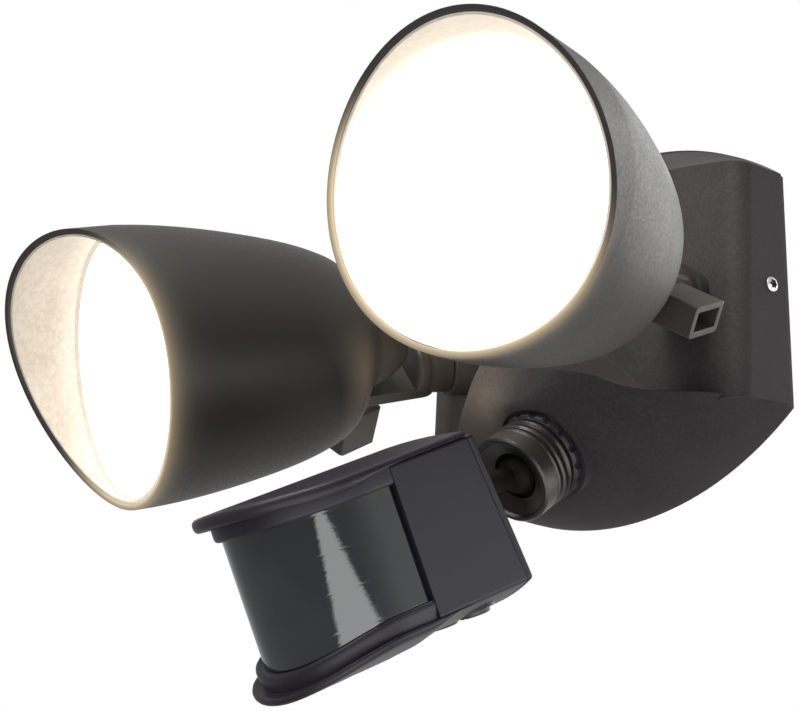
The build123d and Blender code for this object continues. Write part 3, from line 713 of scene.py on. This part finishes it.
@dataclass(frozen=True)
class LampAxis:
    """Where a lamp's lens is and which way it shines."""

    centre: Vector
    forward: Vector
    up: Vector

    SPLAY = math.radians(19.8)
    DROOP = math.radians(8.0)
    POSE = {Side.RIGHT: (-31.3, 4.5), Side.LEFT: (39.2, -5.5)}

    @classmethod
    def of(cls, side: Side) -> LampAxis:
        """Works out a lamp's axis at rest.

        Args:
            side: Which lamp.

        Returns:
            The axis, with the middle of the lens.
        """
        sign = 1 if side is Side.RIGHT else -1
        swivel, tilt = (math.radians(angle) for angle in cls.POSE[side])
        along = Vector((
            sign * math.sin(cls.SPLAY) * math.cos(cls.DROOP),
            -math.cos(cls.SPLAY) * math.cos(cls.DROOP),
            -math.sin(cls.DROOP),
        ))
        level = along.cross(Vector((0, 0, 1))).normalized()
        upright = level.cross(along)
        up = upright * math.cos(swivel) + level * math.sin(swivel)
        ahead = along * math.cos(tilt) + up * math.sin(tilt)
        lamp_up = up * math.cos(tilt) - along * math.sin(tilt)
        low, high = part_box(f"{side.value}_lens")
        return cls((Vector(low) + Vector(high)) / 2, ahead, lamp_up)


SOCKET_NOD = math.radians(36.6)
SOCKET_AXIS = Vector((0.0, math.cos(SOCKET_NOD), math.sin(SOCKET_NOD)))
SOCKET_MOUTH = Vector((0.0, -0.0643, -0.0675))
SOCKET_RIBS = Ribs(SOCKET_MOUTH + SOCKET_AXIS * 0.008, SOCKET_AXIS, length=0.02, pitch=0.0034, depth=0.0009)


class Finish(Protocol):
    """A look that can be built as a material."""

    def build(self, name: str) -> bpy.types.Material:
        """Builds the material.

        Args:
            name: Name of the material.

        Returns:
            The material.
        """


class Dresser:
    """Gives every CAD node its material."""

    FINISHES: dict[str, Finish] = {
        "charcoal_paint": PowderCoat((0.038, 0.0345, 0.035), (0.083, 0.076, 0.076), 0.6, gloss=0.2),
        "charcoal_plastic": MouldedPlastic((0.0155, 0.0137, 0.0192), (0.028, 0.0247, 0.034), 0.42, gloss=0.3),
        "black_paint": PowderCoat(
            (0.033, 0.029, 0.0265), (0.039, 0.035, 0.032), 0.47, speckle=0.05, bump=0.1, gloss=0.38
        ),
        "black_plastic": MouldedPlastic((0.052, 0.046, 0.041), (0.078, 0.070, 0.063), 0.46),
        # dark_bore is near black and dull: painted shade, given to the ball joint that sits deep in the
        # socket's mouth
        "dark_bore": MouldedPlastic((0.004, 0.0035, 0.003), (0.009, 0.008, 0.007), 0.6, gloss=0.12),
        "warm_black": MouldedPlastic((0.018, 0.0145, 0.0125), (0.032, 0.027, 0.0235), 0.34, ribs=SOCKET_RIBS),
        "zinc_steel": BareMetal((0.37, 0.38, 0.40), 0.42),
        "bright_screw": BareMetal((0.78, 0.78, 0.8), 0.24),
        "side_screws": BareMetal((0.82, 0.82, 0.84), 0.42, drive=(0.0, -SCREW_DEPTH, SCREW_DRIVE)),
        "raw_aluminium": BareMetal((0.78, 0.79, 0.8), 0.38),
        "brass_part": BareMetal((0.75, 0.58, 0.28), 0.33),
        "seal_rubber": MouldedPlastic((0.012, 0.012, 0.012), (0.022, 0.022, 0.022), 0.7),
        "driver_case": MouldedPlastic((0.62, 0.62, 0.6), (0.75, 0.75, 0.73), 0.55),
        "pale_plastic": MouldedPlastic((0.7, 0.69, 0.65), (0.8, 0.79, 0.75), 0.5),
        "mirror_plastic": BareMetal((0.9, 0.9, 0.9), 0.15),
        "board_green": MouldedPlastic((0.02, 0.12, 0.05), (0.04, 0.18, 0.08), 0.4),
        "smoked_lens": SmokedLens(SENSOR.origin, SENSOR.basis),
    }
    OWN_FINISH: dict[str, str] = {
        "side_screws": "side_screws",
        # the ball joint's parts take dark_bore, painted shade for the shadowed socket mouth
        "ball_stem": "dark_bore",
        "ball_seat": "dark_bore",
        "stem_nut": "dark_bore",
        "lock_collar": "warm_black",
        "socket_nut": "warm_black",
    }
    # strength of the painted glow on each hood's liner
    LINER_GLOW = {Side.RIGHT: 0.75, Side.LEFT: 0.3}

    def __init__(self, frame: dict) -> None:
        """Reads which node has which slot.
        """
        self.nodes: dict[str, bpy.types.Object] = frame["nodes"]
        self.slots = {row["node"]: row["material_slot"] for row in frame["record"]["subparts"]}
        self.made: dict[str, bpy.types.Material] = {}

    def dress(self) -> None:
        """Puts the materials on all nodes."""
        for name, node in self.nodes.items():
            slot = self.slots[name]
            own = slot in ("diffuser", "cream_paint") or name.endswith("_lamp_shell")
            key = name if own else self.OWN_FINISH.get(name, slot)
            if key not in self.made:
                self.made[key] = self.finish_of(name, slot).build(key)
            node.data.materials.clear()
            node.data.materials.append(self.made[key])
        log.info("dressed %d nodes with %d materials", len(self.nodes), len(self.made))

    def finish_of(self, name: str, slot: str) -> Finish:
        """Finds the finish of a node.

        Args:
            name: The node.
            slot: Its material slot.

        Returns:
            Its finish.
        """
        if slot == "diffuser":
            low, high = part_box(name)
            return Diffuser((Vector(low) + Vector(high)) / 2)
        if name.endswith("_lamp_shell"):
            lamp = LampAxis.of(Side(name.split("_")[0]))
            return replace(self.FINISHES["black_paint"], halo=Halo(lamp))
        if slot == "cream_paint":
            side = Side(name.split("_")[0])
            return LitLiner(self.LINER_GLOW[side], LampAxis.of(side))
        return self.FINISHES[self.OWN_FINISH.get(name, slot)]


@dataclass(frozen=True)
class Plan:
    """U-shaped plan of a moulding on the sensor head, in millimetres: flanks and an elliptical front."""

    half: float
    centre: float
    tip: float
    rear: float
    rear_half: float

    BACK_POINTS = 8
    FLANK_POINTS = 10
    FRONT_POINTS = 48

    @property
    def count(self) -> int:
        """Number of points on the plan's outline."""
        return self.BACK_POINTS + 2 * self.FLANK_POINTS + self.FRONT_POINTS

    def points(self, inset: float, scale: float) -> list[tuple[float, float]]:
        """Walks round the outline.

        Args:
            inset: How far the outline is pulled in, in millimetres.
            scale: Scale about the plan's centre, after the inset.

        Returns:
            x and y of each point.
        """
        half, tip = self.half - inset, self.tip + inset
        rear_half = self.rear_half - inset
        shares = [step / self.FLANK_POINTS for step in range(self.FLANK_POINTS + 1)]
        flank = [
            (
                half + (rear_half - half) * (1 - share) ** 2 * (1 + 2 * share),
                self.rear + (self.centre - self.rear) * share,
            )
            for share in shares
        ]
        turns = [math.pi * step / self.FRONT_POINTS for step in range(self.FRONT_POINTS)]
        found = [
            (-rear_half + 2 * rear_half * step / self.BACK_POINTS, self.rear)
            for step in range(self.BACK_POINTS)
        ]
        found += flank[:-1]
        found += [
            (half * math.cos(turn), self.centre + (tip - self.centre) * math.sin(turn)) for turn in turns
        ]
        found += [(-x, y) for x, y in reversed(flank[1:])]
        return [(x * scale, self.centre + (y - self.centre) * scale) for x, y in found]


@dataclass(frozen=True)
class Row:
    """One row of a moulding's section: which plan it follows, how far in and how high."""

    plan: Plan
    level: float
    inset: float = 0.0
    scale: float = 1.0


class SensorTrim:
    """Rolled visor, brow and foot mouldings round the sensor's lens, and its shallow dials."""

    BODY = "sensor_head"
    SLOT = "charcoal_plastic"
    HALF_WIDTH = 33.8
    TOP_CROWN = 2.2
    BELLY_CROWN = -7.0
    VISOR_TOP = 29.35
    VISOR = Plan(35.5, -17.5, -53.0, 38.8, 33.9)
    BROW = Plan(33.75, -10.5, -46.9, 0.0, 33.6)
    LEDGE = Plan(33.9, -13.5, -47.6, 6.0, 33.5)
    LIP = Plan(35.0, -16.7, -51.5, 16.0, 33.7)
    SURROUND_LOW = -21.6
    LEDGE_TOP = -20.3
    LIP_LOW = -30.0
    DIAL_RISE = 0.0016
    HEAD_SCALE = (0.42, 0.72, 0.72)
    SHARP = math.radians(38)
    # Sections from the middle of the top to the underside, as pairs of inset and drop, in millimetres.
    VISOR_EDGE = (
        (2.2, 0.0), (1.3, -0.12), (0.6, -0.55), (0.15, -1.2), (0.0, -2.2), (0.1, -3.3), (0.45, -4.2),
        (1.1, -4.8), (1.7, -4.8), (2.3, -4.3), (2.6, -3.4), (2.7, -2.2),
    )
    VISOR_PLATE = -1.7  # underside of the visor where its rolled lip has died away
    VISOR_FADE = (-26.0, 10.0)  # depths between which the rolled lip dies away
    # Sections as pairs of height and inset, in millimetres.
    BROW_EDGE = ((27.7, 0.0), (25.0, 0.0), (22.0, 0.0), (21.4, 0.1), (20.9, 0.45), (20.7, 0.9))
    LEDGE_EDGE = (
        (-20.3, 1.5), (-20.55, 0.75), (-21.2, 0.2), (-22.1, 0.0), (-23.2, 0.1), (-24.2, 0.35),
        (-25.2, 0.6), (-26.2, 0.8), (-27.0, 0.9),
    )
    LIP_EDGE = (
        (-27.2, 1.7), (-27.3, 0.9), (-27.6, 0.3), (-28.3, 0.0), (-29.1, 0.12), (-29.7, 0.6), (-30.0, 1.4),
    )
    LIP_ROOT = -27.6  # height at which the bottom's lip starts
    LIP_FADE = (-6.0, 14.0)

    def __init__(self, dresser: Dresser) -> None:
        """Keeps the materials at hand.

        Args:
            dresser: The dresser that made the materials.
        """
        self.dresser = dresser

    def build(self) -> None:
        """Builds all trim pieces."""
        self.visor()
        self.brow()
        self.surround()
        self.foot()
        self.dials()
        self.side_screw_heads()

    def place(self, x: float, y: float, z: float) -> Vector:
        """Turns coordinates of the sensor head into those of the scene.

        Args:
            x: To the right, in millimetres.
            y: Backwards.
            z: Upwards.

        Returns:
            The place in metres.
        """
        return SENSOR.origin + SENSOR.basis @ Vector((x, y, z)) / 1000.0

    def copied(self, node: str) -> bmesh.types.BMesh:
        """Copies a CAD node's mesh, with its vertices joined.

        Args:
            node: Name of the node.

        Returns:
            The copy.
        """
        shape = bmesh.new()
        shape.from_mesh(self.dresser.nodes[node].data)
        bmesh.ops.remove_doubles(shape, verts=shape.verts[:], dist=WELD)
        return shape

    def crowned(self, x: float) -> float:
        """Share of a crown's full height at a distance from the middle.

        Args:
            x: The distance, in millimetres.

        Returns:
            1 in the middle and 0 at the flank.
        """
        return 1 - (x / self.HALF_WIDTH) ** 2

    def moulding(
        self, name: str, rows: Sequence[Row], crown: Callable[[Row, float, float], float]
    ) -> bpy.types.Object:
        """Lofts a closed moulding through its rows.

        Args:
            name: Name of the piece.
            rows: Rows from the middle of the top, over the edge, to the middle of the underside.
            crown: Height of a point of a row at x and y, in millimetres.

        Returns:
            The piece, riding on the sensor head.
        """
        shape = bmesh.new()
        segments = rows[0].plan.count
        first = bmesh.ops.create_circle(shape, cap_ends=False, segments=segments, radius=1.0)
        ring = list(first["verts"])
        edges = list(shape.edges)
        closed = []
        for number, row in enumerate(rows):
            if number:
                grown = bmesh.ops.extrude_edge_only(shape, edges=edges)["geom"]
                edges = [part for part in grown if isinstance(part, bmesh.types.BMEdge) and part.is_boundary]
                fresh = {part for part in grown if isinstance(part, bmesh.types.BMVert)}
                ring = [
                    next(edge.other_vert(vert) for edge in vert.link_edges if edge.other_vert(vert) in fresh)
                    for vert in ring
                ]
            for vert, (x, y) in zip(ring, row.plan.points(row.inset, row.scale)):
                vert.co = self.place(x, y, crown(row, x, y))
            if number in (0, len(rows) - 1):
                closed.append(list(ring))
        for loop in closed:
            middle = sum((vert.co for vert in loop), Vector()) / len(loop)
            bmesh.ops.pointmerge(shape, verts=loop, merge_co=middle)
        bmesh.ops.remove_doubles(shape, verts=shape.verts[:], dist=WELD)
        bmesh.ops.recalc_face_normals(shape, faces=shape.faces[:])
        return self.piece(name, shape, self.BODY, self.SLOT)

    def piece(self, name: str, shape: bmesh.types.BMesh, body: str, slot: str) -> bpy.types.Object:
        """Makes a finished piece from a bmesh.

        Args:
            name: Name of the piece.
            shape: Its mesh, which is freed.
            body: CAD body that carries it.
            slot: Material slot it takes.

        Returns:
            The piece.
        """
        mesh = bpy.data.meshes.new(name)
        for face in shape.faces:
            face.smooth = True
        shape.to_mesh(mesh)
        shape.free()
        made = bpy.data.objects.new(name, mesh)
        bpy.context.scene.collection.objects.link(made)
        mesh.set_sharp_from_angle(angle=self.SHARP)
        mesh.materials.append(self.dresser.made[slot])
        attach(made, body)
        log.info("built %s with %d faces", name, len(mesh.polygons))
        return made

    @staticmethod
    def fade(y: float, start: float, end: float) -> float:
        """Falls smoothly from 1 to 0 between two depths.

        Args:
            y: Depth in millimetres.
            start: Depth where it is still 1.
            end: Depth where it is 0.

        Returns:
            The share that is left.
        """
        share = min(max((y - start) / (end - start), 0.0), 1.0)
        return 1 - share * share * (3 - 2 * share)

    def visor(self) -> None:
        """Crowned roof plate with a rolled lip that fades out towards the back."""
        top, plate = self.VISOR_TOP, self.VISOR_PLATE
        rows = [Row(self.VISOR, top, 0, scale) for scale in (0.02, 0.2, 0.4, 0.6, 0.75, 0.88)]
        rows += [Row(self.VISOR, top + drop, inset) for inset, drop in self.VISOR_EDGE]
        rows += [Row(self.VISOR, top + plate, 0, scale) for scale in (0.88, 0.6, 0.3, 0.02)]

        def crown(row: Row, x: float, y: float) -> float:
            """Height of the visor's surface at x and y."""
            drop = row.level - top
            hang = drop if drop > plate else plate + (drop - plate) * self.fade(y, *self.VISOR_FADE)
            return top + hang + self.TOP_CROWN * self.crowned(x)

        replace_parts(self.moulding("rolled_visor", rows, crown), "visor")

    def brow(self) -> None:
        """Brow that hangs from the visor in front of the lens's top."""
        high, low = self.BROW_EDGE[0][0], self.BROW_EDGE[-1][0]
        rows = [Row(self.BROW, high, 0, scale) for scale in (0.02, 0.5, 0.9)]
        rows += [Row(self.BROW, level, inset) for level, inset in self.BROW_EDGE]
        rows += [Row(self.BROW, low, 0, scale) for scale in (0.93, 0.5, 0.02)]

        def crown(row: Row, x: float, y: float) -> float:
            """Height of the brow's surface at x and y."""
            share = (row.level - low) / (high - low)
            return row.level + share * self.TOP_CROWN * self.crowned(x)

        self.moulding("lens_brow", rows, crown)

    def surround(self) -> None:
        """Upper part of the lens's frame; the mouldings below replace its foot."""
        shape = self.copied("front_frame")
        cut = bmesh.ops.bisect_plane(
            shape,
            geom=shape.verts[:] + shape.edges[:] + shape.faces[:],
            plane_co=self.place(0, 0, self.SURROUND_LOW),
            plane_no=SENSOR.basis.col[2],
            clear_inner=True,
        )
        rim = [part for part in cut["geom_cut"] if isinstance(part, bmesh.types.BMEdge)]
        bmesh.ops.holes_fill(shape, edges=rim, sides=0)
        bmesh.ops.triangulate(shape, faces=[face for face in shape.faces if len(face.verts) > 4])
        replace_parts(self.piece("lens_surround", shape, self.BODY, self.SLOT), "front_frame")

    def foot(self) -> None:
        """Ledge under the lens, the wall below it and the thin rounded lip at the bottom."""
        rows = [Row(self.LEDGE, self.LEDGE_TOP, 0, scale) for scale in (0.02, 0.5, 0.9)]
        rows += [Row(self.LEDGE, level, inset) for level, inset in self.LEDGE_EDGE]
        rows += [Row(self.LIP, level, inset) for level, inset in self.LIP_EDGE]
        rows += [Row(self.LIP, self.LIP_LOW, 0, scale) for scale in (0.9, 0.6, 0.3, 0.02)]
        root = self.LIP_ROOT

        def crown(row: Row, x: float, y: float) -> float:
            """Height of the foot's surface at x and y."""
            hang = min(row.level - root, 0.0) * self.fade(y, *self.LIP_FADE)
            return max(row.level, root) + hang + self.BELLY_CROWN * self.crowned(x)

        self.moulding("lens_foot", rows, crown)

    def dials(self) -> None:
        """The three adjusting dials, sunk to the depth that the photograph shows."""
        for dial in ("time_knob", "light_knob", "range_knob"):
            shape = self.copied(dial)
            rise = SENSOR.basis.col[2] * self.DIAL_RISE
            bmesh.ops.translate(shape, verts=shape.verts[:], vec=rise)
            sunk = self.piece(f"{dial.split('_')[0]}_dial", shape, f"{dial}_body", "black_plastic")
            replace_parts(sunk, dial)

    def side_screw_heads(self) -> None:
        """Side screws with the low, narrow heads that the photograph shows."""
        shape = self.copied("side_screws")
        for side in (1.0, -1.0):
            seat = Vector((side * SCREW_SEAT, -SCREW_DEPTH, 0.0))
            heads = [vert for vert in shape.verts if vert.co.x * side > SCREW_SEAT]
            bmesh.ops.scale(shape, vec=self.HEAD_SCALE, verts=heads, space=Matrix.Translation(-seat))
        piece = self.piece("low_side_screws", shape, "fixture", "bright_screw")
        piece.data.materials[0] = self.dresser.made["side_screws"]
        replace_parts(piece, "side_screws")


@dataclass(frozen=True)
class Softbox:
    """One studio light."""

    name: str
    place: tuple[float, float, float]
    aim: tuple[float, float, float]
    size: tuple[float, float]
    power: float
    colour: Colour = (1.0, 1.0, 1.0)
    mirrored: bool = True

    def build(self) -> None:
        """Adds the light."""
        data = bpy.data.lights.new(self.name, "AREA")
        data.shape = "RECTANGLE"
        data.size, data.size_y = self.size
        data.energy = self.power
        data.color = self.colour
        lamp = bpy.data.objects.new(self.name, data)
        bpy.context.scene.collection.objects.link(lamp)
        lamp.location = self.place
        lamp.visible_glossy = self.mirrored
        lamp.visible_camera = False
        way = Vector(self.aim) - Vector(self.place)
        lamp.rotation_euler = way.to_track_quat("-Z", "Y").to_euler()


class Studio:
    """Camera, floor, background and lights."""

    AZIMUTH = math.radians(49.74)
    ELEVATION = math.radians(-17.17)
    ROLL = math.radians(0.13)
    CAMERA = (0.6372, -0.6575, -0.2871)
    LENS = 107.6
    FILM = 36.0
    NEAREST = 0.05
    FLOOR = -3.0
    FLOOR_REACH = 6.0
    GLOSS_FRONT = 0.3  # the background's strength as glossy parts mirror it
    GLOSS_BEHIND = 0.45  # added behind the wall plane
    DIFFUSE = 0.25  # its strength as a light on matt parts
    PANEL_LEVEL = 2.9
    PANEL_EDGES = (
        (Vector((0.778, -0.548, -0.307)), Vector((0.500, -0.735, -0.458))),
        (Vector((0.993, -0.004, -0.115)), Vector((0.885, -0.400, -0.238))),
    )
    PANEL_BLUR = 0.006  # softness of the panel's edges, as a sine
    PAPER = MouldedPlastic((0.78, 0.78, 0.78), (0.84, 0.84, 0.84), 0.7, grain=40.0, bump=0.02)

    LIGHTS = (
        Softbox("key", (0.25, -2.0, 1.5), (0.05, -0.05, 0.03), (1.5, 1.5), 32.0),
        Softbox("top", (0.1, -0.8, 1.9), (0.05, -0.03, 0.03), (0.8, 0.8), 28.0, (1.0, 0.97, 0.93)),
        Softbox("front", (1.35, -1.5, -0.3), (0.0, -0.1, -0.03), (1.2, 1.2), 5.5, (0.98, 0.97, 1.0), False),
        Softbox("fill", (-1.6, -1.4, 0.3), (0, -0.1, 0), (1.2, 1.2), 9.0, (1.0, 0.93, 0.85), False),
        Softbox("under", (0.3, -1.1, -0.75), (0, -0.1, -0.08), (1.0, 0.8), 1.3, (0.94, 0.95, 1.0), False),
        Softbox("back", (-0.1, 1.4, 0.5), (0.1, -0.1, 0), (1.4, 1.0), 12.0),
        Softbox(
            "spill", (-0.0189, -0.0894, -0.0306), (-0.04, -0.07, 0.0), (0.04, 0.04), 0.032,
            (1.0, 0.86, 0.62), False,
        ),
    )

    def build(self) -> None:
        """Builds the studio around the light."""
        self.camera()
        self.floor()
        self.background()
        for light in self.LIGHTS:
            light.build()

    def camera(self) -> None:
        """Sets the camera where the photograph was taken from."""
        data = bpy.data.cameras.new("camera")
        data.lens = self.LENS
        data.sensor_width = self.FILM
        data.clip_start = self.NEAREST
        camera = bpy.data.objects.new("camera", data)
        bpy.context.scene.collection.objects.link(camera)
        back = Vector((
            math.sin(self.AZIMUTH) * math.cos(self.ELEVATION),
            -math.cos(self.AZIMUTH) * math.cos(self.ELEVATION),
            math.sin(self.ELEVATION),
        ))
        right = Vector((0, 0, 1)).cross(back).normalized()
        up = back.cross(right)
        turned_right = right * math.cos(self.ROLL) + up * math.sin(self.ROLL)
        turned_up = up * math.cos(self.ROLL) - right * math.sin(self.ROLL)
        basis = Matrix((turned_right, turned_up, back)).transposed().to_4x4()
        camera.matrix_world = Matrix.Translation(self.CAMERA) @ basis
        bpy.context.scene.camera = camera

    def floor(self) -> None:
        """Lays a pale floor far below the wall light."""
        mesh = bpy.data.meshes.new("floor")
        shape = bmesh.new()
        bmesh.ops.create_grid(shape, x_segments=1, y_segments=1, size=self.FLOOR_REACH)
        shape.to_mesh(mesh)
        shape.free()
        mesh.transform(Matrix.Translation((0, 0, self.FLOOR)))
        floor = bpy.data.objects.new("floor", mesh)
        bpy.context.scene.collection.objects.link(floor)
        paper = self.PAPER.build("floor")
        self.whiten(paper.node_tree)
        mesh.materials.append(paper)
        floor.visible_glossy = False

    @staticmethod
    def whiten(tree: bpy.types.NodeTree) -> None:
        """Lets the camera see the floor as white as the background.

        Args:
            tree: Node tree of the floor's material.
        """
        output = tree.nodes["Material Output"]
        rays = tree.nodes.new("ShaderNodeLightPath")
        white = tree.nodes.new("ShaderNodeEmission")
        blend = tree.nodes.new("ShaderNodeMixShader")
        tree.links.new(rays.outputs["Is Camera Ray"], blend.inputs[0])
        tree.links.new(tree.nodes["Principled BSDF"].outputs[0], blend.inputs[1])
        tree.links.new(white.outputs[0], blend.inputs[2])
        tree.links.new(blend.outputs[0], output.inputs["Surface"])

    def background(self) -> None:
        """Makes the background white for the camera and softer as a light."""
        world = bpy.data.worlds.new("studio")
        bpy.context.scene.world = world
        world.use_nodes = True
        tree = world.node_tree
        backdrop = tree.nodes["Background"]
        backdrop.inputs["Color"].default_value = (1.0, 1.0, 1.0, 1.0)
        rays = tree.nodes.new("ShaderNodeLightPath")
        camera, through, gloss = (
            Shade(tree, rays.outputs[f"Is {kind} Ray"]) for kind in ("Camera", "Transmission", "Glossy")
        )
        ways = tree.nodes.new("ShaderNodeTexCoord")
        way = Shade(tree, ways.outputs["Generated"])
        room = way.part(1).ramp(-0.2, 0.8) * self.GLOSS_BEHIND + self.GLOSS_FRONT
        mirrored = gloss * (room + self.panel(way) * self.PANEL_LEVEL)
        direct = (camera + through).math("MINIMUM", 1.0)
        rest = (1.0 - direct) * (1.0 - gloss) * self.DIFFUSE
        level = direct + (1.0 - direct) * mirrored + rest
        tree.links.new(level.socket, backdrop.inputs["Strength"])

    def panel(self, way: Shade) -> Shade:
        """Outlines the tall bright panel that the glossy parts mirror.

        Args:
            way: Direction of the ray.

        Returns:
            1 inside the panel, 0 outside.
        """
        middle = sum((corner for edge in self.PANEL_EDGES for corner in edge), Vector())
        inside = way.part(0).ramp(0.1, 0.3)
        for first, second in self.PANEL_EDGES:
            side = first.cross(second).normalized()
            inward = side if side.dot(middle) >= 0 else -side
            inside = inside * way.along(inward).ramp(-self.PANEL_BLUR, self.PANEL_BLUR)
        wallward = way.part(1).ramp(0.3, 0.5)
        downward = 1.0 - way.part(2).ramp(-0.25, -0.1)
        return inside * (1.0 - wallward * downward)


def main() -> None:
    """Builds the scene in order."""
    logging.basicConfig(level=logging.INFO, format="%(name)s: %(message)s")
    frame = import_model()
    bpy.context.scene.view_settings.view_transform = "Standard"
    dresser = Dresser(frame)
    dresser.dress()
    SensorTrim(dresser).build()
    Studio().build()


if __name__ == "__main__":
    main()
